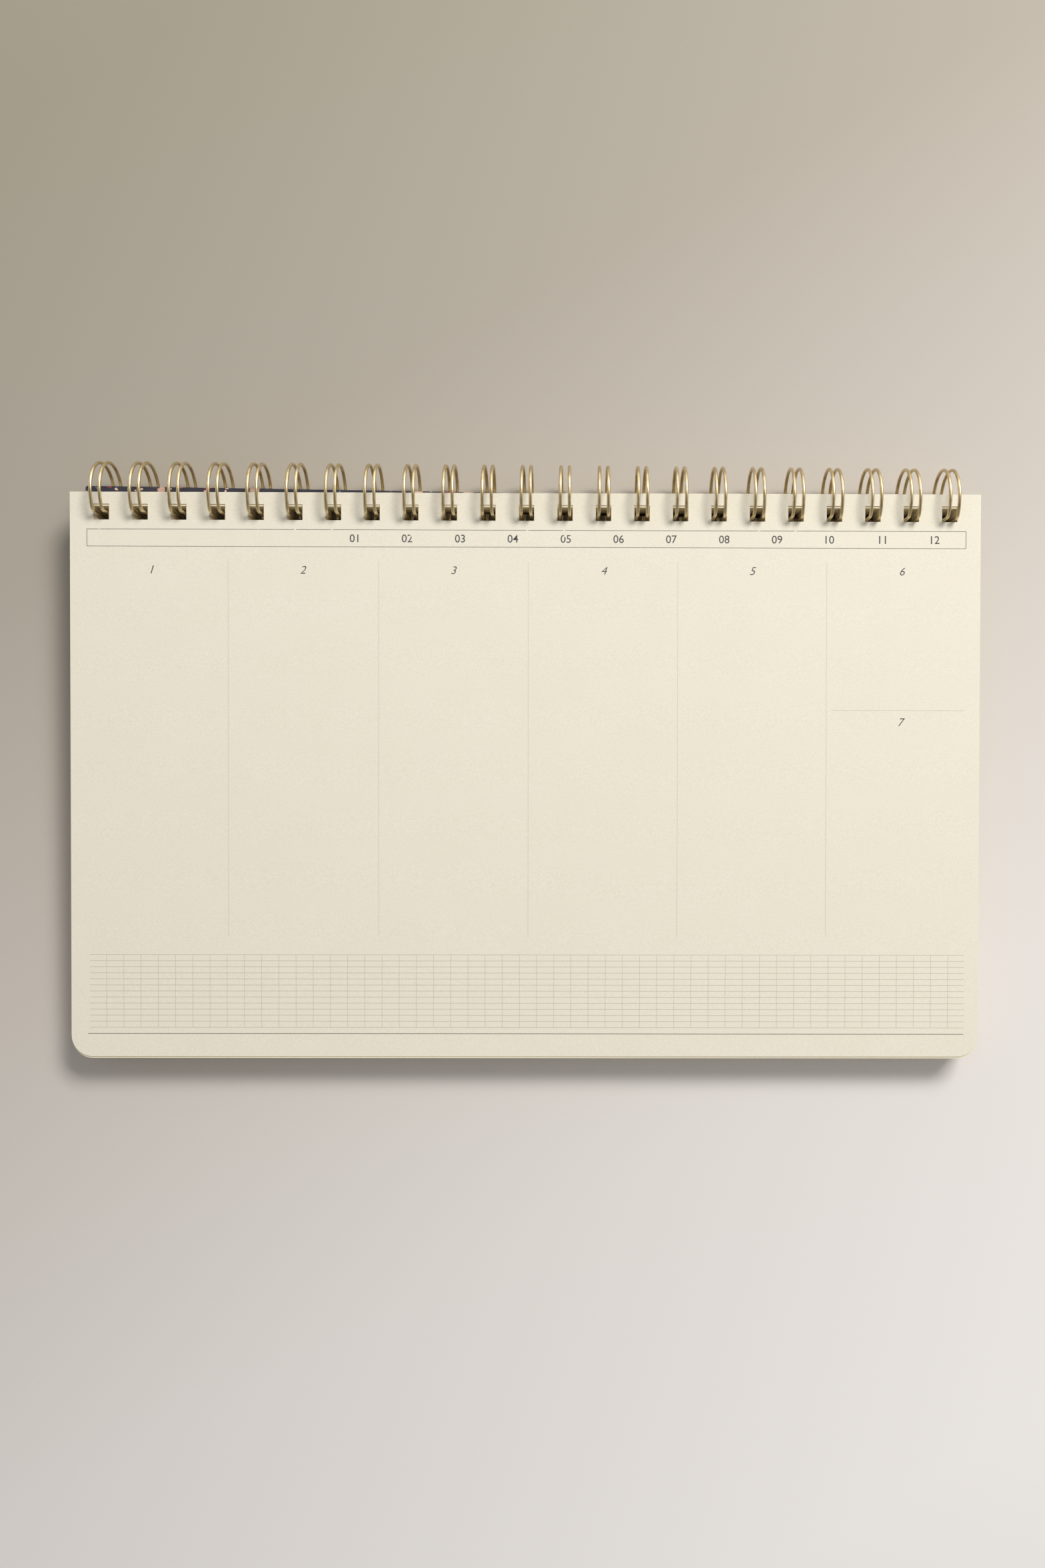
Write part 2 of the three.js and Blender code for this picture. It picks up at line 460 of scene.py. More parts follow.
@dataclass(frozen=True)
class Fibrous:
    """An uncoated paper or board, or an ink that lets the paper's tooth show.

    Attributes:
        name: The material's name.
        colour: Its main colour.
        deeper: The colour of its denser fibres.
        tooth_scale: How fine the tooth is.
        depth: Height of the tooth in metres.
        roughness: Roughness from 0 to 1.
        cloud_scale: How fine the mottling is.
        cloud_share: How far the mottling goes towards the deeper colour.
        clouds: The heights at which the mottling starts and is full.
        grain: The same for the tooth's deeper colour.
    """

    name: str
    colour: Colour
    deeper: Colour
    tooth_scale: float
    depth: float
    roughness: float
    cloud_scale: float = 55.0
    cloud_share: float = 0.15
    clouds: Range = (0.35, 0.75)
    grain: Range = (0.40, 0.80)

    def material(self) -> bpy.types.Material:
        """Makes the material, with the mottling under the tooth.

        Returns:
            The material.
        """
        material, tree, shader = blank(self.name, self.colour, self.roughness)
        fibre = tree.nodes.new("ShaderNodeGroup")
        fibre.node_tree = paper_fibre()
        fibre.inputs["Tooth Scale"].default_value = self.tooth_scale
        fibre.inputs["Cloud Scale"].default_value = self.cloud_scale
        cloudy = blended(self.colour, self.deeper, self.cloud_share)
        mottled = mix(tree, span(tree, fibre.outputs["Cloud"], self.clouds), self.colour, cloudy)
        grainy = mix(tree, span(tree, fibre.outputs["Tooth"], self.grain), mottled, self.deeper)
        tree.links.new(grainy, shader.inputs["Base Color"])
        bump = tree.nodes.new("ShaderNodeBump")
        bump.inputs["Distance"].default_value = self.depth
        bump.inputs["Strength"].default_value = 0.5
        tree.links.new(fibre.outputs["Tooth"], bump.inputs["Height"])
        tree.links.new(bump.outputs["Normal"], shader.inputs["Normal"])
        return material


SHEET_PAPER = Fibrous("sheet_paper", linear(243, 233, 204), linear(230, 217, 182), 2600.0, 2e-5, 0.88)
TOP_PAPER = Fibrous("top_sheet_paper", linear(242, 236, 218), linear(228, 220, 198), 2600.0, 2.5e-5, 0.86)
GREY_BOARD = Fibrous("grey_board", linear(168, 160, 148), linear(128, 118, 104), 1500.0, 4e-5, 0.92)
CARD_CORE = Fibrous("card_core", linear(226, 221, 208), linear(206, 199, 182), 2200.0, 2e-5, 0.8)


class Ink(Enum):
    """The strengths of grey that the sheet is printed in."""

    LABEL = linear(56, 55, 60)
    FRAME = linear(104, 98, 90)
    FAINT = linear(213, 207, 189)
    GRID = linear(199, 192, 173)

    def material(self) -> bpy.types.Material:
        """Makes the matt ink, which is a little paler in its denser fibres."""
        paler = blended(self.value, (0.8, 0.8, 0.8), 0.15)
        return Fibrous(f"ink_{self.name.lower()}", self.value, paler, 5200.0, 4e-6, 0.8).material()


@dataclass(frozen=True)
class GoldWire:
    """The finish of the wire, whose tone and roughness change a little along it.

    Attributes:
        gold: The paler metal.
        bronze: The deeper metal.
        metallic: How much of the surface is bare metal.
        patch_scale: How fine the patches of tone are.
        tone: The noise at which the deeper metal starts and is full.
        roughness: Roughness of the smoothest and the dullest patch.
    """

    gold: Colour = linear(216, 197, 154)
    bronze: Colour = linear(186, 164, 118)
    metallic: float = 0.9
    patch_scale: float = 420.0
    tone: Range = (0.35, 0.70)
    roughness: Range = (0.25, 0.37)

    def material(self) -> bpy.types.Material:
        """Makes the material, with one noise for the tone and the roughness.

        Returns:
            The material.
        """
        material, tree, shader = blank("gold_wire", self.gold, self.roughness[0], self.metallic)
        noise = tree.nodes.new("ShaderNodeTexNoise")
        noise.inputs["Scale"].default_value = self.patch_scale
        noise.inputs["Detail"].default_value = 3.0
        tree.links.new(object_place(tree), noise.inputs["Vector"])
        tone = span(tree, noise.outputs["Fac"], self.tone)
        tree.links.new(mix(tree, tone, self.gold, self.bronze), shader.inputs["Base Color"])
        rough = span(tree, noise.outputs["Fac"], (0.0, 1.0), self.roughness)
        tree.links.new(rough, shader.inputs["Roughness"])
        return material


@dataclass(frozen=True)
class PrintedCard:
    """The finish of the cover's outside: petals and dots in generic colours, scattered over a dark ground.

    Attributes:
        ground: The dark ground.
        petals: Colours of the large spots, each with the share of the cells below it.
        dots: The same for the small spots.
        petal_cells: How close the large spots lie, and each one's radius as a share of its cell.
        dot_cells: The same for the small spots.
        ruffle_scale: How fine the unevenness of the spots' edges is.
        ruffle: How far their edges are pushed about, in metres.
        roughness: Roughness from 0 to 1.
    """

    ground: Colour = linear(58, 58, 68)
    petals: tuple = ((0.0, linear(190, 96, 92)), (0.3, linear(214, 176, 156)), (0.75, linear(150, 58, 74)))
    dots: tuple = ((0.0, linear(226, 196, 172)), (0.5, linear(112, 128, 132)), (0.8, linear(206, 120, 104)))
    petal_cells: Range = (125.0, 0.21)
    dot_cells: Range = (260.0, 0.11)
    ruffle_scale: float = 260.0
    ruffle: float = 0.004
    roughness: float = 0.42

    def material(self) -> bpy.types.Material:
        """Makes the material from two Voronoi patterns.

        Each cell's middle is a spot where the distance to it is small, and the cell's own random colour
        picks the spot's colour.

        Returns:
            The material.
        """
        material, tree, shader = blank("printed_card", self.ground, self.roughness)
        place = object_place(tree)
        ruffle = tree.nodes.new("ShaderNodeTexNoise")
        ruffle.inputs["Scale"].default_value = self.ruffle_scale
        tree.links.new(place, ruffle.inputs["Vector"])
        bend = tree.nodes.new("ShaderNodeVectorMath")
        bend.operation = "MULTIPLY_ADD"
        bend.inputs[1].default_value = (self.ruffle, self.ruffle, 0.0)
        tree.links.new(ruffle.outputs["Color"], bend.inputs[0])
        tree.links.new(place, bend.inputs[2])
        shown: object = self.ground
        for (scale, radius), colours in ((self.petal_cells, self.petals), (self.dot_cells, self.dots)):
            cells = tree.nodes.new("ShaderNodeTexVoronoi")
            cells.voronoi_dimensions = "2D"
            cells.inputs["Scale"].default_value = scale
            tree.links.new(bend.outputs["Vector"], cells.inputs["Vector"])
            colour = colour_ramp(tree, cells.outputs["Color"], colours, stepped=True)
            spot = span(tree, cells.outputs["Distance"], (radius, radius * 0.8))
            shown = mix(tree, spot, shown, colour)
        tree.links.new(shown, shader.inputs["Base Color"])
        return material


@dataclass(frozen=True)
class Desk:
    """The floor's warm grey, with painted light that grows paler from the upper left to the lower right.

    Attributes:
        stops: The greys of the painted light, each with its place from 0 to 1.
        slope: The direction in which the painted light grows paler.
        half_slope: How far from the origin the painted light ends on either side, in metres.
        far: The one grey that it settles to far from the pad.
        far_reach: Where that starts and is complete, in metres from the origin.
        roughness: Roughness from 0 to 1.
        sheen: Specular level, which is low for a matt floor.
    """

    stops: tuple = (
        (0.0, linear(162, 156, 139)),
        (0.25, linear(176, 168, 155)),
        (0.5, linear(205, 198, 189)),
        (0.75, linear(232, 227, 222)),
        (1.0, linear(247, 243, 239)),
    )
    slope: tuple[float, float, float] = (0.50, -0.866, 0.0)
    half_slope: float = 0.28
    far: Colour = linear(226, 221, 214)
    far_reach: Range = (0.36, 0.90)
    roughness: float = 0.75
    sheen: float = 0.2

    def material(self) -> bpy.types.Material:
        """Makes the material, with the painted light near the pad and the even far grey round it.

        Returns:
            The material.
        """
        material, tree, shader = blank("desk", self.far, self.roughness)
        shader.inputs["Specular IOR Level"].default_value = self.sheen
        place = object_place(tree)
        # Painted light: the ramp darkens the floor to the upper left and lightens it to the lower right.
        down = span(tree, along(tree, place, self.slope), (-self.half_slope, self.half_slope))
        near = colour_ramp(tree, down, self.stops)
        reach = tree.nodes.new("ShaderNodeVectorMath")
        reach.operation = "LENGTH"
        tree.links.new(place, reach.inputs[0])
        far = span(tree, reach.outputs["Value"], self.far_reach)
        tree.links.new(mix(tree, far, near, self.far), shader.inputs["Base Color"])
        return material


@dataclass
class SheetBlock:
    """The loose sheets under the top one, drawn one by one.

    Attributes:
        seat: The frame that the sheets lie in.
        outline: A sheet's outline.
        holes_y: Y of the holes in the seat's frame, in millimetres.
        under_z: Z of the lowest sheet's underside.
        height: Height of the block without the top sheet.
        sheets: How many sheets are drawn.
        paper: What they are made of.
        air: Share of each sheet's space that is left open.
        slip: How far a sheet may lie out of line, in millimetres.
        seed: Starts the row of slips.
    """

    seat: Seat
    outline: Leaf
    holes_y: float = SHEETS_HOLES_Y
    under_z: float = -4.3
    height: float = 8.75
    sheets: int = 36
    paper: Fibrous = SHEET_PAPER
    air: float = 0.05
    slip: float = 0.11
    seed: int = 7

    def build(self) -> bpy.types.Object:
        """Stacks the sheets, each a closed leaf moved by its own small slip.

        Returns:
            The block as one object.
        """
        points, keep = self.outline.grid()
        pitch = self.height / self.sheets
        rng = np.random.default_rng(self.seed)
        slips = rng.uniform(-self.slip, self.slip, size=(self.sheets, 2))
        vertices, faces, total = [], [], 0
        for number, (slip_x, slip_y) in enumerate(slips):
            low = np.full(points.shape[:2], self.under_z + pitch * number)
            moved = points + np.array([slip_x, slip_y + self.holes_y])
            under = np.concatenate([moved, low[..., None]], axis=-1)
            top = under + np.array([0, 0, pitch * (1 - self.air)])
            leaf_vertices, leaf_faces = closed_leaf(top, under, keep)
            vertices.append(leaf_vertices)
            faces.append(leaf_faces + total)
            total += len(leaf_vertices)
        block = mesh_object("sheet_block", self.seat.place(np.concatenate(vertices)), np.concatenate(faces))
        block.data.materials.append(self.paper.material())
        return block


@dataclass
class TopSheet:
    """The printed sheet on top, which has slipped towards the wire and lies in slight waves.

    Attributes:
        seat: The frame that the sheets lie in.
        outline: The sheet's outline.
        holes_y: Y of its holes in the seat's frame, in millimetres.
        rest_z: Z of its underside where it lies flat.
        thickness: Its thickness.
        paper: What it is made of.
        wave: Height of the long waves.
        slant_wave: Length across and down for each radian of the first wave, and its start in radians.
        cross_wave: The same lengths for the wave that crosses it, down first.
        ripple: Height of the ripples between the loops.
        ripple_reach: How far from the bound edge the ripples have mostly died away.
    """

    seat: Seat
    outline: Leaf
    holes_y: float = TOP_HOLES_Y
    rest_z: float = 4.47
    thickness: float = 0.2
    paper: Fibrous = TOP_PAPER
    wave: float = 0.10
    slant_wave: tuple[float, float, float] = (41.0, 67.0, 0.6)
    cross_wave: Range = (52.0, 150.0)
    ripple: float = 0.16
    ripple_reach: float = 14.0

    def rise(self, x: np.ndarray, y: np.ndarray) -> np.ndarray:
        """Works out how far the sheet stands off the one below.

        The long waves are a half less half the product of two crossing cosines. The ripples are a cosine
        with a crest between each two loops, which fades as exp(-distance / reach) from the bound edge.

        Args:
            x: X in the leaf's frame.
            y: Y in the leaf's frame.

        Returns:
            The rise in millimetres, never below zero.
        """
        pitch = self.outline.hole_row.pitch
        across, down, start = self.slant_wave
        slant = np.cos(x / across + y / down + start)
        cross = np.cos(y / self.cross_wave[0] - x / self.cross_wave[1])
        long_wave = 0.5 - 0.5 * slant * cross
        fade = np.exp((y - self.outline.bound) / self.ripple_reach)
        crest = 0.5 - 0.5 * np.cos(2 * math.pi * x / pitch)
        return self.wave * long_wave + self.ripple * crest * fade

    def surface(self, flat: np.ndarray, lift: float = 0.0) -> np.ndarray:
        """Lays points of the leaf's plane onto the sheet's upper side.

        Args:
            flat: Points as (..., xy) in the leaf's frame.
            lift: How far above the paper they lie.

        Returns:
            The points as (..., xyz) in the seat's frame.
        """
        x, y = flat[..., 0], flat[..., 1]
        z = self.rest_z + self.thickness + self.rise(x, y) + lift
        return np.stack([x, y + self.holes_y, z], axis=-1)

    def build(self) -> bpy.types.Object:
        """Makes the sheet as one closed leaf.

        Returns:
            The sheet's object.
        """
        points, keep = self.outline.grid()
        top = self.surface(points)
        under = top - np.array([0, 0, self.thickness])
        vertices, faces = closed_leaf(top, under, keep)
        sheet = mesh_object("top_sheet", self.seat.place(vertices), faces)
        sheet.data.materials.append(self.paper.material())
        shade(sheet, sharp_from=30)
        return sheet


@dataclass
class Ruling:
    """Everything printed on the top sheet. Places are measured from its left and bound edges.

    Attributes:
        sheet: The sheet that it is printed on.
        box: Left, right, top and bottom of the header's frame.
        months_from: X of the first month's number.
        months_apart: Distance from one month's number to the next.
        months_down: Distance of the months' numbers from the bound edge.
        days_across: X of the middle of each day's column.
        dividers: X of the lines between the days.
        divider_span: Where those lines start and end.
        days_down: Distance of the days' numbers from the bound edge.
        last_day_down: The same for the seventh, which shares a column.
        last_day_line: Distance of the line above the seventh day.
        notes_rows: First distance, spacing and count of the notes' level lines.
        notes_columns: First distance, spacing and count of the notes' upright lines.
        notes_span: Left and right end of the level lines.
        footer: Left end, right end and distance down of the closing line.
        last_day_indent: Space from the last divider to that line.
        frame_line: Width of the header's lines.
        footer_line: Width of the closing line.
        day_line: Width of the lines between the days.
        notes_lines: Widths of the notes' level and upright lines.
        digit_height: Height of the numbers.
        month_strokes: How far the months' strokes are thickened.
        day_strokes: The same for the days' strokes, which are thinned.
        day_slant: How far the days' numbers lean, as a share of their height.
        ink_lift: How far the ink stands above the paper.
    """

    sheet: TopSheet
    box: tuple[float, float, float, float] = (5.6, 295.1, 12.2, 17.8)
    months_from: float = 93.3
    months_apart: float = 17.42
    months_down: float = 15.0
    days_across: tuple[float, ...] = (27.0, 76.6, 126.2, 175.8, 224.8, 274.2)
    dividers: tuple[float, ...] = (51.9, 101.4, 150.7, 200.0, 249.2)
    divider_span: tuple[float, float] = (22.5, 146.3)
    days_down: float = 25.4
    last_day_down: float = 75.1
    last_day_line: float = 71.2
    notes_rows: tuple[float, float, int] = (152.3, 2.01, 13)
    notes_columns: tuple[float, float, int] = (11.6, 5.68, 50)
    notes_span: tuple[float, float] = (6.1, 295.4)
    footer: tuple[float, float, float] = (5.5, 295.2, 178.5)
    last_day_indent: float = 1.9
    frame_line: float = 0.17
    footer_line: float = 0.2
    day_line: float = 0.16
    notes_lines: Range = (0.15, 0.12)
    digit_height: float = 2.6
    month_strokes: float = 0.004
    day_strokes: float = -0.004
    day_slant: float = 0.3
    ink_lift: float = 0.02

    def flat(self, across: np.ndarray, down: np.ndarray) -> np.ndarray:
        """Turns distances from the sheet's left and bound edges into the leaf's own X and Y."""
        outline = self.sheet.outline
        return np.stack([across - outline.width / 2, outline.bound - down], axis=-1)

    def line(self, start: tuple, end: tuple, width: float, step: float = 4.0) -> tuple:
        """Lays one printed line onto the sheet as a thin closed strip.

        Args:
            start: Distances across and down where it starts.
            end: Distances across and down where it ends.
            width: Its width.
            step: Greatest length of a piece of it, so that it follows the waves.

        Returns:
            Its vertices, in metres, and its quads.
        """
        run = np.array(end, dtype=float) - np.array(start, dtype=float)
        length = float(np.hypot(*run))
        count = max(int(length / step), 1) + 1
        share = np.linspace(0, 1, count)[None, :, None]
        side = np.array([-run[1], run[0]]) / length * width / 2
        edges = np.array([1.0, -1.0])[:, None, None] * side
        spots = np.array(start) + share * run + edges
        flat = self.flat(spots[..., 0], spots[..., 1])
        top = self.sheet.surface(flat, self.ink_lift)
        under = self.sheet.surface(flat, self.ink_lift / 4)
        vertices, faces = closed_leaf(top, under, np.ones((1, count - 1), dtype=bool))
        return self.sheet.seat.place(vertices), faces

    def number(self, digits: str, across: float, down: float, slant: float, strokes: float) -> tuple:
        """Lays a short number onto the sheet, cut from the built-in face.

        Args:
            digits: What it says.
            across: X of its middle.
            down: Distance of its middle from the bound edge.
            slant: How far the figures lean, as a share of their height.
            strokes: How much their strokes are thickened, or thinned below zero.

        Returns:
            Its vertices, in metres, and its faces.
        """
        curve = bpy.data.curves.new("figures", "FONT")
        curve.body = digits
        curve.size = 1.0
        curve.shear = slant
        curve.offset = strokes
        curve.extrude = 0.01
        curve.resolution_u = 4
        holder = bpy.data.objects.new("figures", curve)
        mesh = bpy.data.meshes.new_from_object(holder)
        points = np.empty(len(mesh.vertices) * 3)
        mesh.vertices.foreach_get("co", points)
        points = points.reshape(-1, 3)
        faces = [tuple(face.vertices) for face in mesh.polygons]
        bpy.data.objects.remove(holder)
        bpy.data.curves.remove(curve)
        bpy.data.meshes.remove(mesh)
        low, high = points.min(axis=0), points.max(axis=0)
        scale = self.digit_height / (high[1] - low[1])
        spots = (points[:, :2] - (low[:2] + high[:2]) / 2) * scale
        flat = self.flat(across + spots[:, 0], down - spots[:, 1])
        over = np.where(points[:, 2] > 0, self.ink_lift, self.ink_lift / 4)
        on_sheet = self.sheet.surface(flat)
        on_sheet[:, 2] += over
        return self.sheet.seat.place(on_sheet), faces

    def join(self, name: str, parts: list[tuple], ink: Ink) -> bpy.types.Object:
        """Joins printed marks of one ink into one piece.

        Args:
            name: The piece's name.
            parts: Vertices and faces of each mark.
            ink: What they are printed in.

        Returns:
            The piece.
        """
        vertices, faces, total = [], [], 0
        for points, corners in parts:
            vertices.append(points)
            faces += [tuple(int(corner) + total for corner in face) for face in corners]
            total += len(points)
        piece = mesh_object(name, np.concatenate(vertices), faces)
        piece.data.materials.append(ink.material())
        return piece

    def header(self) -> list[tuple]:
        """Draws the header's frame and the line under the notes.

        Returns:
            Vertices and faces of each line.
        """
        left, right, top, bottom = self.box
        width = self.frame_line
        parts = [self.line((left, down), (right, down), width) for down in (top, bottom)]
        parts += [self.line((x, top - width / 2), (x, bottom + width / 2), width) for x in (left, right)]
        start, end, down = self.footer
        parts.append(self.line((start, down), (end, down), self.footer_line))
        return parts

    def columns(self) -> list[tuple]:
        """Draws the lines between the days.

        Returns:
            Vertices and faces of each line.
        """
        top, bottom = self.divider_span
        parts = [self.line((x, top), (x, bottom), self.day_line) for x in self.dividers]
        start, down = self.dividers[-1] + self.last_day_indent, self.last_day_line
        parts.append(self.line((start, down), (self.box[1], down), self.day_line))
        return parts

    def notes(self) -> list[tuple]:
        """Draws the grid for notes.

        Returns:
            Vertices and faces of each line.
        """
        first, apart, count = self.notes_rows
        left, right = self.notes_span
        rows = first + apart * np.arange(count)
        level, upright = self.notes_lines
        parts = [self.line((left, down), (right, down), level) for down in rows]
        start, step, uprights = self.notes_columns
        across = start + step * np.arange(uprights)
        parts += [self.line((x, rows[0]), (x, rows[-1]), upright) for x in across]
        return parts

    def figures(self) -> list[tuple]:
        """Prints the plain numbers of the months and the days.

        Returns:
            Vertices and faces of each number.
        """
        parts = []
        for month in range(12):
            across = self.months_from + self.months_apart * month
            parts.append(self.number(f"{month + 1:02d}", across, self.months_down, 0.0, self.month_strokes))
        days = [(across, self.days_down) for across in self.days_across]
        days.append((self.days_across[-1], self.last_day_down))
        for day, (across, down) in enumerate(days, start=1):
            parts.append(self.number(str(day), across, down, self.day_slant, self.day_strokes))
        return parts

    def build(self) -> list[bpy.types.Object]:
        """Prints the sheet.

        Returns:
            One piece for each ink.
        """
        return [
            self.join("header_rules", self.header(), Ink.FRAME),
            self.join("day_rules", self.columns(), Ink.FAINT),
            self.join("notes_grid", self.notes(), Ink.GRID),
            self.join("printed_numbers", self.figures(), Ink.LABEL),
        ]


@dataclass
class Card:
    """A stiff punched card: the backing board or the front cover.

    Attributes:
        name: The piece's name.
        seat: The frame that it lies in.
        outline: Its outline.
        holes_y: Y of its holes in the seat's frame, in millimetres.
        under_z: Z of its underside.
        thickness: Its thickness.
        board: What it is made of.
        printed: The finish of its upper side, where that is printed.
        edge: Width of its softened edges.
    """

    name: str
    seat: Seat
    outline: Leaf
    holes_y: float
    under_z: float
    thickness: float
    board: Fibrous
    printed: PrintedCard | None = None
    edge: float = 0.12

    def build(self) -> bpy.types.Object:
        """Makes the card as one closed leaf with softened edges.

        Returns:
            The card, with its printed face first where it has one.
        """
        points, keep = self.outline.grid()
        flat = np.full(points.shape[:2], self.under_z)
        under = np.stack([points[..., 0], points[..., 1] + self.holes_y, flat], axis=-1)
        top = under + np.array([0, 0, self.thickness])
        vertices, faces = closed_leaf(top, under, keep)
        card = mesh_object(self.name, self.seat.place(vertices), faces)
        if self.printed is not None:
            card.data.materials.append(self.printed.material())
        card.data.materials.append(self.board.material())
        if self.printed is not None:
            beyond_face = np.arange(len(faces)) >= int(keep.sum())
            card.data.polygons.foreach_set("material_index", beyond_face.astype(np.int32))
        soften(card, self.edge)
        return card


@dataclass
class TwinLoopWire:
    """The binding: one round wire bent to and fro into twin loops that close behind the sheets.

    Attributes:
        seat: The frame whose origin is the axis of the loops.
        holes: The row of holes, which gives the loops their places.
        diameter: The wire's diameter.
        radius: Radius of the loops' round part, to the wire's middle.
        inner_reach: How far the flattened inner side lies from the axis.
        blend: Angle at which the round part ends, in degrees.
        root_half: Half the distance between the twin wires at their root.
        tip_half: The same at their tip.
        root_bend: Size of the bend between a loop and the wire to the next.
        end_stub: Straight wire left at each end.
        seam_drop: How far below the axis the loops close.
        tip_gap: Space between a loop's tip and the straight wires.
        steps: Sections along each wire of a loop.
        tip_steps: Sections round each tip.
        root_steps: Sections round each bend at the root.
        sides: Corners of the wire's section.
        finish: What it is made of.
    """

    seat: Seat
    holes: Punching
    diameter: float = 1.1
    radius: float = 10.3
    inner_reach: float = 6.7
    blend: float = 124.0
    root_half: float = 1.62
    tip_half: float = 1.2
    root_bend: float = 0.8
    end_stub: float = 2.5
    seam_drop: float = 5.05
    tip_gap: float = 0.25
    steps: int = 72
    tip_steps: int = 8
    root_steps: int = 4
    sides: int = 12
    finish: GoldWire = field(default_factory=GoldWire)

    def profile(self) -> np.ndarray:
        """Draws one loop seen from its end.

        It runs straight up the inner side, through a parabola into the round part, about the axis and
        back through another parabola to where it started.

        Returns:
            Points close together, as (count, yz).
        """
        turn = math.radians(self.blend)
        cosine, sine = math.cos(turn), math.sin(turn)
        corner = (self.radius + self.inner_reach * cosine) / sine
        run = abs((self.radius * cosine + self.inner_reach) / sine)
        share = np.linspace(0, 1, 40)[:, None]
        angles = np.linspace(turn, -turn, 260)
        start = np.array([-self.inner_reach, corner - run])
        bend = np.array([-self.inner_reach, corner])
        round_from = self.radius * np.array([cosine, sine])
        leave = (1 - share) ** 2 * start + 2 * share * (1 - share) * bend + share**2 * round_from
        arc = self.radius * np.stack([np.cos(angles), np.sin(angles)], axis=-1)
        mirror = np.array([1.0, -1.0])
        back = leave[::-1] * mirror
        seam = np.array([[-self.inner_reach, -self.seam_drop]])
        return np.concatenate([seam, leave, arc[1:-1], back, seam])

    def centre_line(self) -> np.ndarray:
        """Works out the middle of the whole wire.

        Returns:
            Points in order along the wire, as (count, xyz).
        """
        profile = self.profile()
        gaps = np.hypot(*np.diff(profile, axis=0).T)
        along = np.concatenate([[0], np.cumsum(gaps)])
        last = along[-1] - (self.diameter + self.tip_gap + self.tip_half)
        stops = np.linspace(self.root_bend, last, self.steps + 1)
        y, z = np.interp(stops, along, profile[:, 0]), np.interp(stops, along, profile[:, 1])
        half = np.linspace(self.root_half, self.tip_half, self.steps + 1)
        heading = np.array([y[-1] - y[-2], z[-1] - z[-2]])
        heading /= np.hypot(*heading)
        turn = np.linspace(0, math.pi, self.tip_steps + 1)[1:-1]
        ahead = self.tip_half * np.sin(turn)
        tip_y, tip_z = y[-1] + heading[0] * ahead, z[-1] + heading[1] * ahead
        tip = np.stack([-self.tip_half * np.cos(turn), tip_y, tip_z], axis=-1)
        angle = np.linspace(0, math.pi / 2, self.root_steps + 1)[:-1]
        swing = self.root_bend * (1 - np.sin(angle))
        corner = np.stack(
            [
                -(self.root_half + swing),
                np.full(self.root_steps, -self.inner_reach),
                self.root_bend * (1 - np.cos(angle)) - self.seam_drop,
            ],
            axis=-1,
        )
        leg = np.stack([-half, y, z], axis=-1)
        mirror = np.array([-1.0, 1.0, 1.0])
        loop = np.concatenate([corner, leg, tip, leg[::-1] * mirror, corner[::-1] * mirror])
        shift = self.holes.places()[:, None, None] * np.array([1.0, 0.0, 0.0])
        whole = (loop[None] + shift).reshape(-1, 3)
        stub = np.array([self.end_stub, 0.0, 0.0])
        return np.concatenate([whole[:1] - stub, whole, whole[-1:] + stub])

    def build(self) -> bpy.types.Object:
        """Carries a round section along the centre line.

        Each section stands square to the wire, and is turned so that one of its corners points away from
        the axis of the loops.

        Returns:
            The binding.
        """
        line = self.centre_line()
        ahead = np.gradient(line, axis=0)
        ahead /= np.linalg.norm(ahead, axis=1, keepdims=True)
        outward = line * np.array([0.0, 1.0, 1.0])
        outward -= (outward * ahead).sum(axis=1, keepdims=True) * ahead
        outward /= np.linalg.norm(outward, axis=1, keepdims=True)
        across = np.cross(ahead, outward)
        turn = np.linspace(0, 2 * math.pi, self.sides, endpoint=False)
        cosine, sine = np.cos(turn)[None, :, None], np.sin(turn)[None, :, None]
        ring = cosine * outward[:, None] + sine * across[:, None]
        points = (line[:, None] + ring * self.diameter / 2).reshape(-1, 3)
        first = np.arange(len(line) - 1)[:, None] * self.sides
        side = np.arange(self.sides)[None, :]
        other = (side + 1) % self.sides
        near = [first + side, first + other]
        far = [first + other + self.sides, first + side + self.sides]
        faces = np.stack(near + far, axis=-1).reshape(-1, 4).tolist()
        faces.append(list(range(self.sides))[::-1])
        faces.append([len(points) - self.sides + corner for corner in range(self.sides)])
        wire = mesh_object("twin_loop_wire", self.seat.place(points), faces)
        wire.data.materials.append(self.finish.material())
        shade(wire, sharp_from=60)
        return wire


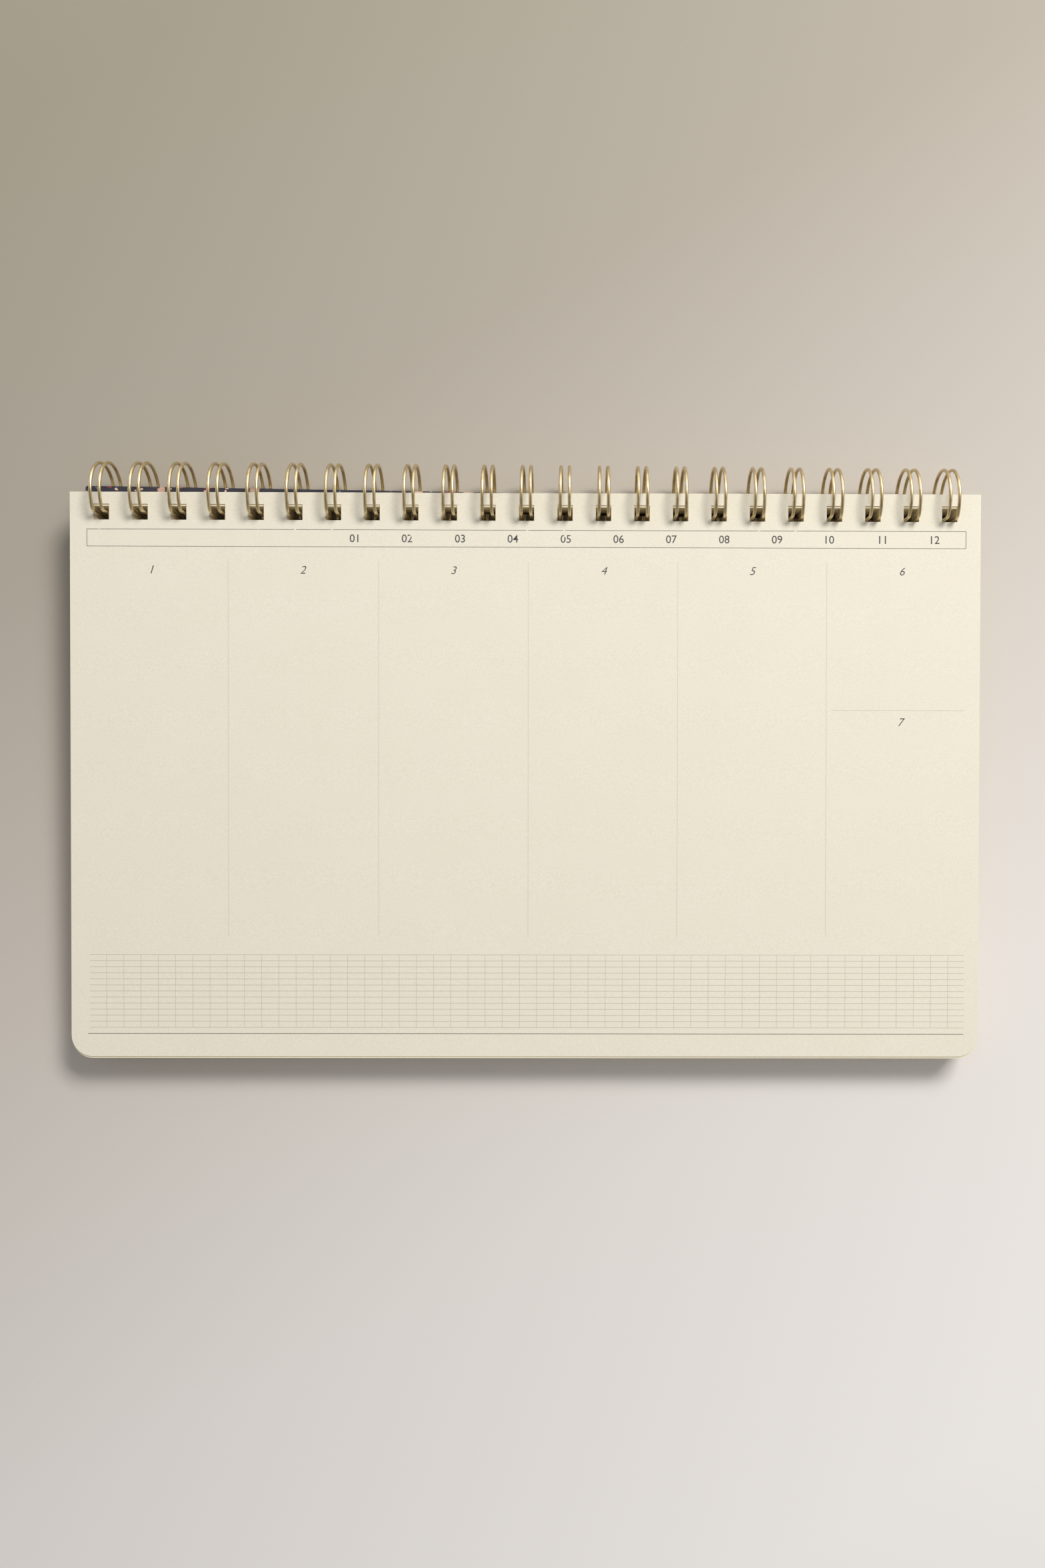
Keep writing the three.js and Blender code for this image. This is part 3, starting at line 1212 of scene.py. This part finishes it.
@dataclass
class Studio:
    """The floor, the light and the camera.

    Attributes:
        camera_at: Place of the camera in metres.
        camera_turn: Its small turns about X, Y and Z in degrees, from looking straight down.
        lens: Focal length in millimetres.
        sensor: Long side of the sensor in millimetres.
        shift_x: How far the picture is shifted sideways, as a share of its long side.
        key_at: Place of the key light.
        key_size: Its width and length.
        key_watts: Its power.
        key_colour: Its colour.
        fill: Strength of the even light from all round.
        sky: Colour of that light.
        backdrop: Strength of what the camera sees past the floor.
        above: Strength of what polished metal shows from straight above.
        around: Strength of what polished metal shows from lower down.
        climb: Heights of the direction at which that starts to fall and has fallen, from 0 to 1.
        contrast: How much stronger that is behind the pad, and how much weaker in front of it.
        contrast_reach: How far back or forward a direction points where the contrast is full.
        glow: How much stronger it is towards the key light.
        glow_reach: Cosines of the angle to the key light at which the glow starts and is full.
        floor_half: Half the side of the floor.
        floor_drop: How far the floor lies under the pad, so that they don't share a plane.
        desk: The floor's finish, with painted light near the pad.
    """

    camera_at: tuple[float, float, float] = (0.01718, -0.01002, 0.41522)
    camera_turn: tuple[float, float, float] = (0.458, -0.345, 0.432)
    lens: float = 27.918
    sensor: float = 36.0
    shift_x: float = -0.03878
    key_at: tuple[float, float, float] = (0.66, 0.93, 1.10)
    key_size: Range = (0.44, 0.66)
    key_watts: float = 22.0
    key_colour: Colour = (1.0, 0.985, 0.96)
    fill: float = 0.40
    sky: Colour = (0.93, 0.93, 0.95)
    backdrop: float = 0.72
    above: float = 0.06
    around: float = 0.95
    climb: Range = (0.45, 0.90)
    contrast: float = 0.6
    contrast_reach: float = 0.6
    glow: float = 0.9
    glow_reach: Range = (0.78, 0.97)
    floor_half: float = 12.0
    floor_drop: float = 5e-5
    desk: Desk = field(default_factory=Desk)

    def build_floor(self) -> None:
        """Lays a large floor under the pad."""
        square = np.array([[-1, -1, 0], [1, -1, 0], [1, 1, 0], [-1, 1, 0]]) * self.floor_half
        floor = mesh_object("desk_floor", square - np.array([0, 0, self.floor_drop]), [(0, 1, 2, 3)])
        floor.data.materials.append(self.desk.material())

    def build_lamp(self) -> None:
        """Hangs the one large soft lamp behind the pad on the right, facing it."""
        lamp = bpy.data.lights.new("key", "AREA")
        lamp.shape = "RECTANGLE"
        lamp.size, lamp.size_y = self.key_size
        lamp.energy = self.key_watts
        lamp.color = self.key_colour
        holder = bpy.data.objects.new("key", lamp)
        holder.location = self.key_at
        tilt = math.atan2(math.hypot(self.key_at[0], self.key_at[1]), self.key_at[2])
        holder.rotation_euler = (0.0, tilt, math.atan2(self.key_at[1], self.key_at[0]))
        bpy.context.scene.collection.objects.link(holder)

    def build_world(self) -> None:
        """Fills the rest with plain grey light, and shows polished metal a pale room.

        For glossy rays the strength falls from the walls to the ceiling as the direction climbs, times a
        factor that grows from the front of the pad to its back, plus a wide soft glow where the cosine
        of the angle to the key light is high.
        """
        world = bpy.data.worlds.new("studio")
        world.use_nodes = True
        tree = world.node_tree
        background = tree.nodes["Background"]
        background.inputs["Color"].default_value = (*self.sky, 1.0)
        place = tree.nodes.new("ShaderNodeTexCoord").outputs["Generated"]
        parts = tree.nodes.new("ShaderNodeSeparateXYZ")
        tree.links.new(place, parts.inputs["Vector"])
        walls = span(tree, parts.outputs["Z"], self.climb, (self.around, self.above), smooth=True)
        back = (1 - self.contrast, 1 + self.contrast)
        depth = span(tree, parts.outputs["Y"], (-self.contrast_reach, self.contrast_reach), back)
        key = along(tree, place, tuple(np.array(self.key_at) / np.linalg.norm(self.key_at)))
        glow = span(tree, key, self.glow_reach, (0.0, self.glow), smooth=True)
        room = tree.nodes.new("ShaderNodeMath")
        room.operation = "MULTIPLY_ADD"
        for socket, value in zip(room.inputs, (walls, depth, glow)):
            tree.links.new(value, socket)
        path = tree.nodes.new("ShaderNodeLightPath")
        light = mix(tree, path.outputs["Is Glossy Ray"], self.fill, room.outputs["Value"], "VALUE")
        seen = mix(tree, path.outputs["Is Camera Ray"], light, self.backdrop, "VALUE")
        tree.links.new(seen, background.inputs["Strength"])
        bpy.context.scene.world = world

    def build_camera(self) -> None:
        """Sets the camera above the pad."""
        lens = bpy.data.cameras.new("camera")
        lens.sensor_width = self.sensor
        lens.lens = self.lens
        lens.shift_x = self.shift_x
        lens.clip_start = 0.01
        holder = bpy.data.objects.new("camera", lens)
        holder.location = self.camera_at
        holder.rotation_euler = tuple(math.radians(turn) for turn in self.camera_turn)
        bpy.context.scene.collection.objects.link(holder)
        bpy.context.scene.camera = holder
        bpy.context.scene.view_settings.view_transform = "Standard"

    def build(self) -> None:
        """Sets up all of the studio."""
        self.build_floor()
        self.build_lamp()
        self.build_world()
        self.build_camera()


def mount_axis(record: dict, name: str) -> tuple[float, float, float]:
    """Finds a mount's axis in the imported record.

    Args:
        record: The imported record.
        name: The mount's name.

    Returns:
        The axis as a unit vector.
    """
    return tuple(next(mount["axis"] for mount in record["mounts"] if mount["name"] == name))


def seats(frame: dict) -> tuple[Seat, Seat, Seat]:
    """Works out from the frame where the sheets, the back and the cover lie.

    The joint gives a point on the axis of the loops, and the two faces give how the leaves lean.

    Args:
        frame: The loaded frame.

    Returns:
        The seats of the sheets, of the board and wire, and of the cover.
    """
    record = frame["record"]
    axis = tuple(record["behaviour"]["joints"][0]["pos_m"])
    up = mount_axis(record, "writing_face")
    down = mount_axis(record, "desk_face")
    pages_lean = math.atan2(-up[1], up[2])
    back_lean = math.atan2(down[1], -down[2])
    pages = Seat(axis, pages_lean, math.radians(SHEETS_SKEW), (0.0, SHEETS_HOLES_Y))
    cover = Seat(axis, back_lean, math.radians(COVER_SKEW), (0.0, COVER_HOLES_Y))
    return pages, Seat(axis, back_lean), cover


def main() -> None:
    """Builds the pad, then the studio."""
    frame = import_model()
    pages, back, cover_seat = seats(frame)

    block = SheetBlock(pages, Leaf()).build()
    sheet = TopSheet(pages, Leaf(hole_gap_steps=5, field_steps=44))
    top = sheet.build()
    prints = Ruling(sheet).build()
    for piece in (block, top, *prints):
        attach(piece, "pad")
        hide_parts("page_block")

    back_card = Card(
        "grey_backing_board",
        back,
        Leaf(),
        BOARD_HOLES_Y,
        under_z=-7.6,
        thickness=1.8,
        board=GREY_BOARD,
    )
    board = back_card.build()
    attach(board, "pad")
    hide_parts("back_board")

    wire = TwinLoopWire(back, Punching()).build()
    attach(wire, "pad")
    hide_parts("wire_binding")

    cover = Card(
        "printed_cover",
        cover_seat,
        Leaf(depth=189.8, margin=7.2, bound_corner=0.8),
        COVER_HOLES_Y,
        under_z=-8.25,
        thickness=0.5,
        board=CARD_CORE,
        printed=PrintedCard(),
        edge=0.08,
    )
    printed = cover.build()
    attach(printed, "cover")
    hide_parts("front_cover")

    Studio().build()


if __name__ == "__main__":
    logging.basicConfig(level=logging.INFO, format="%(name)s %(message)s")
    main()
